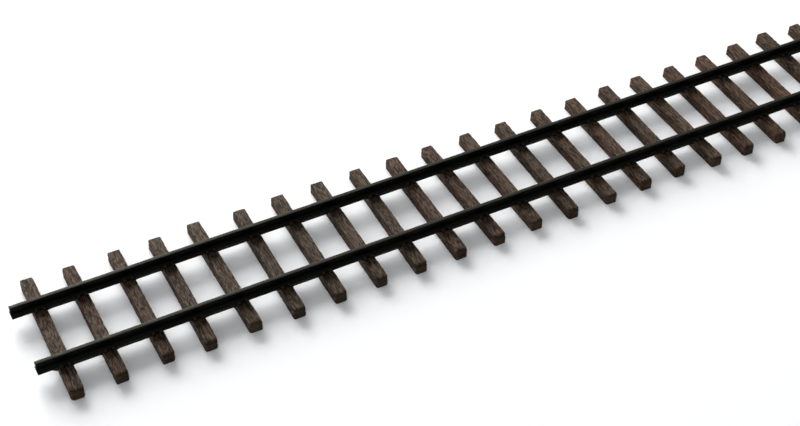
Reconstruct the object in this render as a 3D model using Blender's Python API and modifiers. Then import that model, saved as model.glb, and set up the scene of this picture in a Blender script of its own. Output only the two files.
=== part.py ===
"""Section of narrow-gauge model railway track: two flat-bottom rails held in a moulded strip of ties.

X runs along the track, Y across it and Z up. The origin is under the middle of the section, on the plane
that the ties rest on. Left is +Y, seen along +X. Run with: blender --background --python part.py
"""
import math
import random

import bmesh
import bpy
from mathutils import Matrix, Vector

MM = 0.001

# Track
GAUGE = 10.5 * MM  # between the inner faces of the rail heads
TIE_COUNT = 26
TIE_PITCH = 6.51 * MM
END_OVERHANG = 3.75 * MM  # from the centre of an end tie to the end of the rails

# Flat-bottom rail
RAIL_HEIGHT = 1.78 * MM
HEAD_WIDTH = 0.76 * MM
HEAD_DEPTH = 0.44 * MM  # down the side of the head
HEAD_CORNER = 0.12 * MM  # radius between the running surface and the side
HEAD_SLOPE = 0.07 * MM  # rise of the head's underside towards its edge
RAIL_WEB = 0.34 * MM
RAIL_FILLET = 0.10 * MM
FOOT_WIDTH = 1.65 * MM
FOOT_EDGE = 0.20 * MM
FOOT_SLOPE = 0.09 * MM  # rise of the foot's top towards the web
ARC_STEPS = 4

# Tie, and how far the hewn shape of each one departs from the nominal box
TIE_LENGTH = 22.6 * MM
TIE_WIDTH = 1.88 * MM
TIE_THICKNESS = 1.72 * MM
TIE_ARRIS = 0.13 * MM
END_JITTER = 0.30 * MM  # largest extra length at an end
CORNER_JITTER = 0.05 * MM
SHIFT_SPREAD = 0.20 * MM  # along the track
SKEW_SPREAD = 0.016  # radians
SHAPE_SEED = 70

# Rail seat in the tie's top
SEAT_DEPTH = 0.28 * MM
SEAT_SIDE_GAP = 0.04 * MM
RAIL_LIFT = 0.03 * MM  # running gap under the rail

# Moulded spike heads, two on each side of each rail
SPIKE_WIDTH = 0.40 * MM
SPIKE_LENGTH = 0.42 * MM
SPIKE_RISE = 0.34 * MM  # above the tie's top
SPIKE_ROOT = 0.20 * MM  # below the tie's top
SPIKE_REACH = 0.17 * MM  # over the rail's foot
SPIKE_FOOT_GAP = 0.05 * MM  # between the spike's lip and the foot
SPIKE_SLOPE = 0.10 * MM  # fall of the head's back edge
SPIKE_INSET = 0.39 * MM  # from the tie's edge to the spike's centre

# Webs that join neighbouring ties under the rails
WEB_WIDTH = 1.30 * MM
WEB_THICKNESS = 0.50 * MM
WEB_END_GAP = 0.06 * MM
WEB_ARRIS = 0.05 * MM
WEB_DROP = 0.03 * MM  # between the rail's foot and the web
STUB_LENGTH = 0.75 * MM

RAIL_CENTRE = (GAUGE + HEAD_WIDTH) / 2
RAIL_BASE = TIE_THICKNESS - SEAT_DEPTH + RAIL_LIFT
RAIL_LENGTH = (TIE_COUNT - 1) * TIE_PITCH + 2 * END_OVERHANG
WEB_TOP = RAIL_BASE - WEB_DROP
WELD_DISTANCE = 0.001 * MM
SIDES = {"left": 1, "right": -1}

TIE_COLOURS = [(0.090, 0.062, 0.046), (0.105, 0.074, 0.057), (0.078, 0.055, 0.043)]
WEB_COLOUR = (0.040, 0.031, 0.026)
RAIL_COLOUR = (0.030, 0.029, 0.026)


class TieShape:
    """Where one tie lies and how its ends depart from the nominal box."""

    def __init__(self, x, skew, extra_left, extra_right):
        self.x = x
        self.skew = skew
        self.extra_left = extra_left
        self.extra_right = extra_right

    def centre_at(self, y):
        """X of the tie's centre line at a distance y across the track."""
        return self.x - y * math.tan(self.skew)

    def half_width(self, reach):
        """Room to keep beside the centre line within reach of it, for the skewed faces."""
        return TIE_WIDTH / (2 * math.cos(self.skew)) + reach * abs(math.tan(self.skew)) + CORNER_JITTER


def clear_scene():
    for old in list(bpy.data.objects):
        bpy.data.objects.remove(old, do_unlink=True)


def new_collection(name):
    collection = bpy.data.collections.new(name)
    bpy.context.scene.collection.children.link(collection)
    return collection


def new_material(name, colour, roughness, metallic):
    material = bpy.data.materials.new(name)
    material.use_nodes = True
    shader = material.node_tree.nodes["Principled BSDF"]
    shader.inputs["Base Color"].default_value = (*colour, 1.0)
    shader.inputs["Roughness"].default_value = roughness
    shader.inputs["Metallic"].default_value = metallic
    material.diffuse_color = (*colour, 1.0)
    return material


def add_object(name, data, collection, material=None):
    piece = bpy.data.objects.new(name, data)
    collection.objects.link(piece)
    if material is not None:
        data.materials.append(material)
    return piece


def make_guide(piece):
    piece.hide_render = True
    piece.display_type = "WIRE"


def box_bmesh(size, centre=(0.0, 0.0, 0.0)):
    shape = bmesh.new()
    matrix = Matrix.Translation(Vector(centre)) @ Matrix.Diagonal((*size, 1.0))
    bmesh.ops.create_cube(shape, size=1.0, matrix=matrix)
    return shape


def mesh_from(shape, name):
    mesh = bpy.data.meshes.new(name)
    shape.to_mesh(mesh)
    shape.free()
    return mesh


def add_bevel(piece, width, segments):
    bevel = piece.modifiers.new("arris", "BEVEL")
    bevel.width = width
    bevel.segments = segments
    bevel.limit_method = "NONE"


def add_boolean(piece, name, operation, operand):
    boolean = piece.modifiers.new(name, "BOOLEAN")
    boolean.operation = operation
    boolean.object = operand
    boolean.solver = "EXACT"


def arc(centre, radius, start, end):
    """Points on a circle from one angle to another, in degrees."""
    angles = [math.radians(start + (end - start) * step / ARC_STEPS) for step in range(ARC_STEPS + 1)]
    return [(centre[0] + radius * math.cos(a), centre[1] + radius * math.sin(a)) for a in angles]


def rail_outline():
    """The rail's section, anticlockwise, with its foot on y = 0 and its centre on x = 0."""
    web = RAIL_WEB / 2
    fillet = RAIL_FILLET
    foot_rise = FOOT_EDGE + FOOT_SLOPE
    head_under = RAIL_HEIGHT - HEAD_DEPTH + HEAD_SLOPE
    corner = HEAD_WIDTH / 2 - HEAD_CORNER
    half = [(FOOT_WIDTH / 2, 0.0), (FOOT_WIDTH / 2, FOOT_EDGE)]
    half += arc((web + fillet, foot_rise + fillet), fillet, 270, 180)
    half += arc((web + fillet, head_under - fillet), fillet, 180, 90)
    half += [(HEAD_WIDTH / 2, RAIL_HEIGHT - HEAD_DEPTH)]
    half += arc((corner, RAIL_HEIGHT - HEAD_CORNER), HEAD_CORNER, 0, 90)
    return half + [(-x, y) for x, y in reversed(half)]


def build_rail(side, collection):
    outline = rail_outline()
    curve = bpy.data.curves.new(f"rail_{side}", "CURVE")
    curve.dimensions = "2D"
    curve.fill_mode = "BOTH"
    curve.extrude = RAIL_LENGTH / 2
    spline = curve.splines.new("POLY")
    spline.points.add(len(outline) - 1)
    for point, (x, y) in zip(spline.points, outline):
        point.co = (x, y, 0.0, 1.0)
    spline.use_cyclic_u = True
    rail = add_object(f"rail_{side}", curve, collection, new_material(f"rail_{side}", RAIL_COLOUR, 0.42, 0.6))
    rail.rotation_euler = (math.pi / 2, 0.0, math.pi / 2)
    rail.location = (0.0, SIDES[side] * RAIL_CENTRE, RAIL_BASE)
    weld = rail.modifiers.new("weld", "WELD")
    weld.merge_threshold = WELD_DISTANCE


def build_seat_cutter(cutters):
    """Two long bars, one along each rail, that cut the seats in every tie."""
    bars = bmesh.new()
    width = FOOT_WIDTH + 2 * SEAT_SIDE_GAP
    height = 2 * SEAT_DEPTH
    for sign in SIDES.values():
        centre = Vector((0.0, sign * RAIL_CENTRE, TIE_THICKNESS - SEAT_DEPTH + height / 2))
        matrix = Matrix.Translation(centre) @ Matrix.Diagonal((RAIL_LENGTH, width, height, 1.0))
        bmesh.ops.create_cube(bars, size=1.0, matrix=matrix)
    cutter = add_object("seat_cutter", mesh_from(bars, "seat_cutter"), cutters)
    make_guide(cutter)
    return cutter


def spike_bmesh():
    """One spike at x = 0: its shank stands at y > 0 and its lip reaches over y < 0."""
    height = SPIKE_ROOT + SPIKE_RISE
    lip_under = RAIL_BASE + FOOT_EDGE + FOOT_SLOPE * SPIKE_REACH / (FOOT_WIDTH / 2) + SPIKE_FOOT_GAP
    middle = TIE_THICKNESS - SPIKE_ROOT + height / 2
    spike = box_bmesh((SPIKE_WIDTH, SPIKE_LENGTH, height), (0.0, SPIKE_LENGTH / 2, middle))
    everything = list(spike.verts) + list(spike.edges) + list(spike.faces)
    bmesh.ops.bisect_plane(spike, geom=everything, plane_co=(0, 0, lip_under), plane_no=(0, 0, 1))
    lip = [f for f in spike.faces if f.normal.y < -0.5 and f.calc_center_median().z > lip_under]
    grown = bmesh.ops.extrude_face_region(spike, geom=lip)
    tip = [v for v in grown["geom"] if isinstance(v, bmesh.types.BMVert)]
    bmesh.ops.translate(spike, vec=(0.0, -SPIKE_REACH - SEAT_SIDE_GAP, 0.0), verts=tip)
    bmesh.ops.delete(spike, geom=lip, context="FACES_ONLY")
    top = TIE_THICKNESS + SPIKE_RISE
    for vert in spike.verts:
        outer = vert.co.y > SPIKE_LENGTH / 2 or vert.co.y < -SPIKE_REACH / 2
        if outer and vert.co.z > top - WELD_DISTANCE:
            vert.co.z -= SPIKE_SLOPE
    bmesh.ops.recalc_face_normals(spike, faces=spike.faces)
    return spike


def build_spikes(name, shape, cutters):
    """The eight spike heads of one tie, as one operand of its union."""
    spike = mesh_from(spike_bmesh(), "one_spike")
    group = bmesh.new()
    for sign in SIDES.values():
        for facing in (1, -1):
            y = sign * RAIL_CENTRE + facing * (FOOT_WIDTH / 2 + SEAT_SIDE_GAP)
            turn = 0.0 if facing == 1 else math.pi
            for edge in (1, -1):
                x = shape.centre_at(y) + edge * (TIE_WIDTH / 2 - SPIKE_INSET)
                first = len(group.verts)
                group.from_mesh(spike)
                group.verts.ensure_lookup_table()
                place = Matrix.Translation((x, y, 0.0)) @ Matrix.Rotation(turn, 4, "Z")
                bmesh.ops.transform(group, matrix=place, verts=group.verts[first:])
    bpy.data.meshes.remove(spike)
    spikes = add_object(f"{name}_spikes", mesh_from(group, f"{name}_spikes"), cutters)
    make_guide(spikes)
    return spikes


def build_tie(number, shape, rng, seat_cutter, collection, cutters):
    name = f"tie_{number:02d}"
    length = TIE_LENGTH + shape.extra_left + shape.extra_right
    middle = (shape.extra_left - shape.extra_right) / 2
    block = box_bmesh((TIE_WIDTH, length, TIE_THICKNESS), (0.0, middle, TIE_THICKNESS / 2))
    for vert in block.verts:
        vert.co.x += rng.uniform(-CORNER_JITTER, CORNER_JITTER)
        vert.co.y -= math.copysign(rng.uniform(0.0, 2 * CORNER_JITTER), vert.co.y)
    colour = TIE_COLOURS[number % len(TIE_COLOURS)]
    tie = add_object(name, mesh_from(block, name), collection, new_material(name, colour, 0.8, 0.0))
    tie.location.x = shape.x
    tie.rotation_euler.z = shape.skew
    add_bevel(tie, TIE_ARRIS, 2)
    add_boolean(tie, "seats", "DIFFERENCE", seat_cutter)
    add_boolean(tie, "spikes", "UNION", build_spikes(name, shape, cutters))


def build_web(name, side, start, end, collection):
    block = box_bmesh((end - start, WEB_WIDTH, WEB_THICKNESS))
    web = add_object(name, mesh_from(block, name), collection, new_material(name, WEB_COLOUR, 0.85, 0.0))
    web.location = ((start + end) / 2, SIDES[side] * RAIL_CENTRE, WEB_TOP - WEB_THICKNESS / 2)
    add_bevel(web, WEB_ARRIS, 1)


def build_webs(shapes, collection):
    """One web in each gap, under the left and the right rail in turn; the first gap has both."""
    for gap, (before, after) in enumerate(zip(shapes, shapes[1:]), start=1):
        sides = ["left" if gap % 2 else "right"] + (["right"] if gap == 1 else [])
        for side in sides:
            y = SIDES[side] * RAIL_CENTRE
            start = before.centre_at(y) + before.half_width(WEB_WIDTH / 2) + WEB_END_GAP
            end = after.centre_at(y) - after.half_width(WEB_WIDTH / 2) - WEB_END_GAP
            build_web(f"web_{gap:02d}_{side}", side, start, end, collection)
    first = shapes[0]
    face = first.centre_at(-RAIL_CENTRE) - first.half_width(WEB_WIDTH / 2) - WEB_END_GAP
    build_web("web_stub_right", "right", face - STUB_LENGTH, face, collection)


def draw_shapes(rng):
    """Lay the ties out: even pitch, a small shift and skew each, and ends that aren't quite square in line."""
    extras = {side: [rng.uniform(-1.0, 1.0) for _ in range(TIE_COUNT)] for side in SIDES}
    for values in extras.values():
        longest = max(values)
        values[:] = [END_JITTER * value / longest for value in values]
    shapes = []
    for index in range(TIE_COUNT):
        x = (index - (TIE_COUNT - 1) / 2) * TIE_PITCH + rng.uniform(-SHIFT_SPREAD, SHIFT_SPREAD)
        skew = rng.uniform(-SKEW_SPREAD, SKEW_SPREAD)
        shapes.append(TieShape(x, skew, extras["left"][index], extras["right"][index]))
    return shapes


def main():
    clear_scene()
    collection = new_collection("narrow_gauge_track_section")
    cutters = new_collection("cutters")
    rng = random.Random(SHAPE_SEED)
    shapes = draw_shapes(rng)
    seat_cutter = build_seat_cutter(cutters)
    for number, shape in enumerate(shapes, start=1):
        build_tie(number, shape, rng, seat_cutter, collection, cutters)
    build_webs(shapes, collection)
    for side in SIDES:
        build_rail(side, collection)


main()
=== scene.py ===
"""Looks of a narrow-gauge model track section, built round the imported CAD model.

Every piece is in metres in the CAD's own frame: X along the track, Y across it and Z up. The ties carry a moulded
grain as real relief, the spike heads and webs are moulded plastic, and the rails are blackened metal.
"""
import logging
import math
from collections.abc import Callable, Iterable, Iterator
from contextlib import contextmanager
from dataclasses import dataclass, field
from enum import Enum

import bmesh
import bpy
import numpy as np
from mathutils import Matrix, Vector


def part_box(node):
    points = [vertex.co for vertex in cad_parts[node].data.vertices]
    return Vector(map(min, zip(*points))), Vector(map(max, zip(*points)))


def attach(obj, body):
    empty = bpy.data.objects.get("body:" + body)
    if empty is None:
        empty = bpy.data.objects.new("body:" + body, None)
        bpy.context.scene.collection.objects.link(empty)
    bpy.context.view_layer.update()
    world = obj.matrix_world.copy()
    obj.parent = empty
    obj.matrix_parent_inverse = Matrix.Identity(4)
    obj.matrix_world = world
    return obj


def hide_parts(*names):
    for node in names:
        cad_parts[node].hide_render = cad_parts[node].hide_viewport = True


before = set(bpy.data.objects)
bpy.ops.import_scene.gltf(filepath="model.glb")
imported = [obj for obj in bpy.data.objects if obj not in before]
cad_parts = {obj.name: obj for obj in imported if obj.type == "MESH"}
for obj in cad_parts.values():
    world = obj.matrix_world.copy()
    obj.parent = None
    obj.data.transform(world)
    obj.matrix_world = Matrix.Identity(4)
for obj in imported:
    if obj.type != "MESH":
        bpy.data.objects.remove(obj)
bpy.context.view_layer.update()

LOG = logging.getLogger("track_section")
MM = 0.001
TINY = 1e-7  # points closer than this are one point
NEAR = 0.01 * MM  # levels closer than this are one level
Colour = tuple[float, float, float]
Triple = tuple[float, float, float]
Span = tuple[float, float]


class Side(Enum):
    """The two sides of the track, as the sign of Y."""

    LEFT = 1
    RIGHT = -1

    @property
    def word(self) -> str:
        """The side's name in node and body names."""
        return self.name.lower()


class Part(Enum):
    """What a selection in edit mode picks."""

    FACE = "FACE"
    EDGE = "EDGE"


# Frame sizes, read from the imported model


@dataclass(frozen=True)
class TrackSizes:
    """Sizes that several pieces share, worked out from the CAD nodes' boxes."""

    rail_centre: float
    rail_base: float
    rail_top: float
    rail_length: float
    foot_half: float
    tie_top: float = 1.72 * MM
    seat_level: float = 1.44 * MM

    @classmethod
    def from_frame(cls) -> "TrackSizes":
        """Measure the left rail's node.

        Returns:
            The sizes.
        """
        low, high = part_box("rail_left")
        return cls(
            rail_centre=(low.y + high.y) / 2,
            rail_base=low.z,
            rail_top=high.z,
            rail_length=high.x - low.x,
            foot_half=(high.y - low.y) / 2,
        )


def nodes_named(start: str) -> list[str]:
    """The CAD nodes whose names start with a word, in order."""
    return sorted(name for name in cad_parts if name.startswith(start))


# Working with objects and in edit mode


def deselect_all() -> None:
    """Leave nothing selected and nothing active."""
    bpy.ops.object.select_all(action="DESELECT")
    bpy.context.view_layer.objects.active = None


def select_alone(piece: bpy.types.Object) -> None:
    """Leave one piece selected and active.

    Args:
        piece: The piece.
    """
    deselect_all()
    piece.select_set(True)
    bpy.context.view_layer.objects.active = piece


def link_new(name: str, data: bpy.types.ID) -> bpy.types.Object:
    """Put a new object in the scene.

    Args:
        name: The object's name.
        data: The mesh, camera or light that it shows.

    Returns:
        The new object, at the origin.
    """
    made = bpy.data.objects.new(name, data)
    bpy.context.scene.collection.objects.link(made)
    return made


@contextmanager
def edit_mode(piece: bpy.types.Object) -> Iterator[None]:
    """Open one piece alone in edit mode and close it afterwards.

    Args:
        piece: The mesh object to open.

    Returns:
        A context in which the piece stays open.
    """
    select_alone(piece)
    bpy.ops.object.mode_set(mode="EDIT")
    yield
    bpy.ops.object.mode_set(mode="OBJECT")


def pick(piece: bpy.types.Object, part: Part, test: Callable[..., bool]) -> None:
    """Select only the faces or edges of the open piece that pass a test.

    Args:
        piece: The piece that is open in edit mode.
        part: Whether faces or edges are picked.
        test: Says of each face or edge whether it is picked.
    """
    bpy.ops.mesh.select_mode(type=part.value)
    bpy.ops.mesh.select_all(action="DESELECT")
    shape = bmesh.from_edit_mesh(piece.data)
    for element in shape.faces if part is Part.FACE else shape.edges:
        element.select_set(test(element))
    bmesh.update_edit_mesh(piece.data)


def runs_along(axis: int, longer_than: float = 0.0) -> Callable[[bmesh.types.BMEdge], bool]:
    """Make a test for edges that lie along one axis.

    Args:
        axis: 0, 1 or 2 for X, Y or Z.
        longer_than: The shortest edge that passes.

    Returns:
        A test for pick().
    """

    def test(edge: bmesh.types.BMEdge) -> bool:
        """True of an edge along the axis."""
        span = edge.verts[1].co - edge.verts[0].co
        return abs(span[axis]) > max(longer_than, 0.999 * span.length)

    return test


def add_block(name: str, low: Vector, high: Vector) -> bpy.types.Object:
    """Add a cube primitive at its size and place, with the place in its mesh.

    Args:
        name: The new object's name.
        low: The block's lowest corner.
        high: The block's highest corner.

    Returns:
        The new object, at the origin and unscaled.
    """
    deselect_all()
    bpy.ops.mesh.primitive_cube_add(size=1.0, location=(low + high) / 2, scale=high - low)
    block = bpy.context.active_object
    block.name = name
    block.data.name = name
    bpy.ops.object.transform_apply(location=True, rotation=True, scale=True)
    return block


def extrude(offset: Triple, scale: Triple, centre: Vector) -> None:
    """Extrude the picked faces, then resize and move the new end.

    Args:
        offset: How far the new end moves.
        scale: How much it grows along each axis.
        centre: The point that it grows from.
    """
    bpy.ops.mesh.extrude_region_move(TRANSFORM_OT_translate={"value": (0.0, 0.0, 0.0)})
    if scale != (1.0, 1.0, 1.0):
        bpy.ops.transform.resize(value=scale, center_override=centre)
    bpy.ops.transform.translate(value=offset)


def finish_mesh(piece: bpy.types.Object, crease_degrees: float) -> None:
    """Merge doubles, point the faces outwards and shade the piece smooth up to an angle.

    Args:
        piece: The piece to finish.
        crease_degrees: The angle past which an edge stays sharp.
    """
    with edit_mode(piece):
        bpy.ops.mesh.select_all(action="SELECT")
        bpy.ops.mesh.remove_doubles(threshold=TINY)
        bpy.ops.mesh.normals_make_consistent(inside=False)
    shade_smooth(piece, crease_degrees)


def shade_smooth(piece: bpy.types.Object, crease_degrees: float) -> None:
    """Shade a piece smooth, apart from edges sharper than an angle."""
    select_alone(piece)
    bpy.ops.object.shade_smooth_by_angle(angle=math.radians(crease_degrees))


def read_points(mesh: bpy.types.Mesh) -> np.ndarray:
    """Read where a mesh's vertices are.

    Args:
        mesh: The mesh.

    Returns:
        An array of rows of x, y and z.
    """
    flat = np.empty(len(mesh.vertices) * 3, np.float32)
    mesh.vertices.foreach_get("co", flat)
    return flat.reshape(-1, 3).astype(np.float64)


def write_points(mesh: bpy.types.Mesh, points: np.ndarray) -> None:
    """Move a mesh's vertices to new places."""
    mesh.vertices.foreach_set("co", points.astype(np.float32).ravel())
    mesh.update()


def write_attribute(mesh: bpy.types.Mesh, name: str, values: np.ndarray) -> None:
    """Store one number at each vertex, for the material to read."""
    layer = mesh.attributes.new(name, "FLOAT", "POINT")
    layer.data.foreach_set("value", values.astype(np.float32))


# Relief of the moulded wood


class LatticeNoise:
    """Smooth random values over a plane, the same on every run."""

    def __init__(self, seed: int, size: int = 97) -> None:
        """Draw the lattice.

        Args:
            seed: Chooses the values.
            size: Lattice points along each axis before it repeats.
        """
        self.size = size
        self.values = np.random.default_rng(seed).uniform(-1.0, 1.0, (size, size))

    def at(self, across: np.ndarray, along: np.ndarray) -> np.ndarray:
        """Read the noise.

        Args:
            across: The points' first coordinate, in lattice steps.
            along: Their second coordinate.

        Returns:
            Smooth values from -1 to 1.
        """
        column, row = np.floor(across).astype(int), np.floor(along).astype(int)
        right, up = across - column, along - row
        right, up = right * right * (3 - 2 * right), up * up * (3 - 2 * up)
        column, row = column % self.size, row % self.size
        next_column, next_row = (column + 1) % self.size, (row + 1) % self.size
        grid = self.values
        near = grid[column, row] * (1 - right) + grid[next_column, row] * right
        far = grid[column, next_row] * (1 - right) + grid[next_column, next_row] * right
        return near * (1 - up) + far * up


@dataclass(frozen=True)
class HewnGrain:
    """Relief of one tie: wavy ridges and grooves along it, a few deep checks, and rough sawn ends."""

    seed: int
    ridge_pitch: float = 0.108 * MM
    ridge_run: float = 0.50 * MM
    ridge_depth: float = 0.060 * MM
    fibre_pitch: float = 0.07 * MM
    fibre_run: float = 0.40 * MM
    fibre_depth: float = 0.018 * MM
    sway: float = 0.13 * MM
    sway_run: float = 1.2 * MM
    hollow_depth: float = 0.022 * MM
    hollow_run: float = 1.7 * MM
    groove_steepness: float = 2.6
    groove_bias: float = -0.1
    shade_shares: Triple = (0.72, 0.16, 0.12)
    check_count: int = 5
    check_depth: float = 0.10 * MM
    check_width: float = 0.055 * MM
    check_places: Span = (-0.8, 0.8)
    check_middles: Span = (-10.5, 10.5)
    check_reaches: Span = (0.7, 2.6)
    end_depth: float = 0.050 * MM
    end_pitch: float = 0.21 * MM
    slow_wander: float = 2.4 * MM
    quick_wander: float = 0.8 * MM

    def _noise(self, number: int) -> LatticeNoise:
        """One of this tie's own noises."""
        return LatticeNoise(self.seed * 31 + number)

    def along_relief(self, across: np.ndarray, along: np.ndarray) -> tuple[np.ndarray, np.ndarray]:
        """Relief of the long faces.

        Args:
            across: Distance round the tie from the middle of its top.
            along: Distance along the tie.

        Returns:
            Depths below the nominal face in metres, and how far each point lies in a groove, from 0 to 1.
        """
        bend = self.sway * self._noise(1).at(across / (6 * self.ridge_pitch), along / self.sway_run)
        line = across + bend
        ridges = self._noise(2).at(line / self.ridge_pitch, along / self.ridge_run)
        ridges += 0.5 * self._noise(3).at(line / (0.6 * self.ridge_pitch), along / (2.2 * self.ridge_run))
        fibres = self._noise(4).at(line / self.fibre_pitch, along / self.fibre_run)
        hollows = self._noise(5).at(across / (4 * self.ridge_pitch), along / self.hollow_run)
        groove = 0.5 - 0.5 * np.tanh(self.groove_steepness * ridges + self.groove_bias)
        fibres, hollows = 0.5 + 0.5 * fibres, 0.5 + 0.5 * hollows
        checks = self._checks(line, along)
        depth = self.ridge_depth * groove + self.fibre_depth * fibres + self.hollow_depth * hollows + checks
        # The second value paints shade where the relief is deeper: grooves, fibre lines, hollows and checks.
        of_groove, of_fibres, of_hollows = self.shade_shares
        shade = of_groove * groove + of_fibres * fibres + of_hollows * hollows
        return depth, np.clip(shade + checks / self.check_depth, 0.0, 1.0)

    def _checks(self, line: np.ndarray, along: np.ndarray) -> np.ndarray:
        """Cut the drying cracks, which taper out at both ends.

        Args:
            line: Distance round the tie, bent as the grain is.
            along: Distance along the tie.

        Returns:
            The cracks' depth in metres.
        """
        rng = np.random.default_rng(self.seed * 17 + 5)
        depth = np.zeros_like(line)
        for _ in range(self.check_count):
            place, middle = rng.uniform(*self.check_places) * MM, rng.uniform(*self.check_middles) * MM
            reach = rng.uniform(*self.check_reaches) * MM
            beside = np.exp(-(((line - place) / self.check_width) ** 2))
            taper = np.clip(1.0 - ((along - middle) / reach) ** 2, 0.0, 1.0)
            depth += self.check_depth * rng.uniform(0.5, 1.0) * beside * taper
        return depth

    def end_relief(self, across: np.ndarray, height: np.ndarray) -> np.ndarray:
        """Relief of a sawn end.

        Args:
            across: Distance across the end.
            height: Height up the end.

        Returns:
            Depths in metres.
        """
        rough = self._noise(6).at(across / self.end_pitch, height / (0.6 * self.end_pitch))
        broad = self._noise(7).at(across / (4 * self.end_pitch), height / (4 * self.end_pitch))
        return self.end_depth * (1.0 + 0.5 * rough + 0.5 * broad)

    def edge_wander(self, along: np.ndarray, edge: np.ndarray) -> np.ndarray:
        """How far a side face wanders in and out along the tie.

        Args:
            along: Distance along the tie.
            edge: Which side, as the sign of X.

        Returns:
            Wander from -1 to 1.
        """
        row = edge * 7.0 + 3.5
        slow = self._noise(8).at(row, along / self.slow_wander)
        quick = self._noise(9).at(row, along / self.quick_wander)
        return 0.65 * slow + 0.35 * quick


# Shader groups


class Wiring:
    """Adds and joins nodes in one shader tree."""

    def __init__(self, tree: bpy.types.NodeTree) -> None:
        """Take the tree to work in."""
        self.tree = tree

    def add(self, kind: str, **inputs: object) -> bpy.types.Node:
        """Add a node.

        Args:
            kind: The node's type.
            **inputs: Settings and input values by name; an input's spaces are underscores.

        Returns:
            The new node.
        """
        node = self.tree.nodes.new(kind)
        for name, value in inputs.items():
            if hasattr(node, name):
                setattr(node, name, value)
            else:
                self.feed(value, node.inputs[name.replace("_", " ")])
        return node

    def feed(self, value: object, socket: bpy.types.NodeSocket) -> None:
        """Join an output to a socket, or set the socket to a plain value.

        Args:
            value: An output, a number, or a colour as three numbers.
            socket: The input socket.
        """
        if isinstance(value, bpy.types.NodeSocket):
            self.tree.links.new(value, socket)
        elif isinstance(value, tuple) and socket.type == "RGBA":
            socket.default_value = (*value, 1.0)
        else:
            socket.default_value = value

    def maths(self, operation: str, first: object, second: object = 0.0) -> bpy.types.NodeSocket:
        """Combine two numbers.

        Args:
            operation: The sum's name, as on the Math node.
            first: The first number or output.
            second: The second one.

        Returns:
            The result's output.
        """
        node = self.add("ShaderNodeMath", operation=operation)
        self.feed(first, node.inputs[0])
        self.feed(second, node.inputs[1])
        return node.outputs[0]

    def mix(self, amount: object, first: object, second: object, blend: str = "MIX") -> bpy.types.NodeSocket:
        """Mix two colours.

        Args:
            amount: How much of the second shows.
            first: The first colour or output.
            second: The second one.
            blend: The way of mixing, as on the Mix node.

        Returns:
            The result's output.
        """
        node = self.add("ShaderNodeMix", data_type="RGBA", blend_type=blend)
        self.feed(amount, node.inputs[0])
        self.feed(first, node.inputs[6])
        self.feed(second, node.inputs[7])
        return node.outputs[2]

    def noise(self, place: object, scale: object, detail: object, roughness: float = 0.5) -> bpy.types.NodeSocket:
        """Add noise over the coordinates at a place, and give its output."""
        node = self.add("ShaderNodeTexNoise", Vector=place, Scale=scale, Detail=detail, Roughness=roughness)
        return node.outputs["Fac"]

    def ramp(
        self, value: object, low: float, high: float, to_low: float = 0.0, to_high: float = 1.0
    ) -> bpy.types.NodeSocket:
        """Stretch a range of numbers to another, smoothly.

        Args:
            value: The number or output.
            low: Where the first range starts.
            high: Where it ends.
            to_low: Where the second range starts.
            to_high: Where it ends.

        Returns:
            The result's output.
        """
        node = self.add("ShaderNodeMapRange", interpolation_type="SMOOTHSTEP")
        for name, number in (("From Min", low), ("From Max", high), ("To Min", to_low), ("To Max", to_high)):
            node.inputs[name].default_value = number
        self.feed(value, node.inputs["Value"])
        return node.outputs["Result"]

    def attribute(self, name: str) -> bpy.types.NodeSocket:
        """A number that the mesh stores at its vertices."""
        return self.add("ShaderNodeAttribute", attribute_name=name).outputs["Fac"]


def new_group(
    name: str, inputs: dict[str, tuple[str, object]], outputs: dict[str, str]
) -> tuple[bpy.types.NodeTree, Wiring, bpy.types.Node, bpy.types.Node]:
    """Start a shader node group.

    Args:
        name: The group's name.
        inputs: Kind and default of each input socket, by name.
        outputs: Kind of each output socket, by name.

    Returns:
        The group, its wiring, its input node and its output node.
    """
    group = bpy.data.node_groups.new(name, "ShaderNodeTree")
    for label, (kind, default) in inputs.items():
        socket = group.interface.new_socket(label, in_out="INPUT", socket_type=f"NodeSocket{kind}")
        if default is not None:
            socket.default_value = (*default, 1.0) if isinstance(default, tuple) else default
    for label, kind in outputs.items():
        group.interface.new_socket(label, in_out="OUTPUT", socket_type=f"NodeSocket{kind}")
    wiring = Wiring(group)
    return group, wiring, wiring.add("NodeGroupInput"), wiring.add("NodeGroupOutput")


def streaks_group() -> bpy.types.NodeTree:
    """Build streaks of noise drawn out along one axis, for grain and for drawn metal.

    Returns:
        The group.
    """
    group, wiring, inlet, outlet = new_group(
        "drawn_streaks",
        {"Vector": ("Vector", None), "Stretch": ("Vector", None), "Detail": ("Float", 4.0),
         "Contrast": ("Float", 1.0)},
        {"Mask": "Float"},
    )
    placed = wiring.add("ShaderNodeVectorMath", operation="MULTIPLY")
    wiring.feed(inlet.outputs["Vector"], placed.inputs[0])
    wiring.feed(inlet.outputs["Stretch"], placed.inputs[1])
    noise = wiring.noise(placed.outputs[0], 1.0, inlet.outputs["Detail"], 0.6)
    centred = wiring.maths("SUBTRACT", noise, 0.5)
    spread = wiring.maths("MULTIPLY", centred, inlet.outputs["Contrast"])
    wiring.feed(wiring.maths("ADD", spread, 0.5), outlet.inputs["Mask"])
    return group


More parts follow.
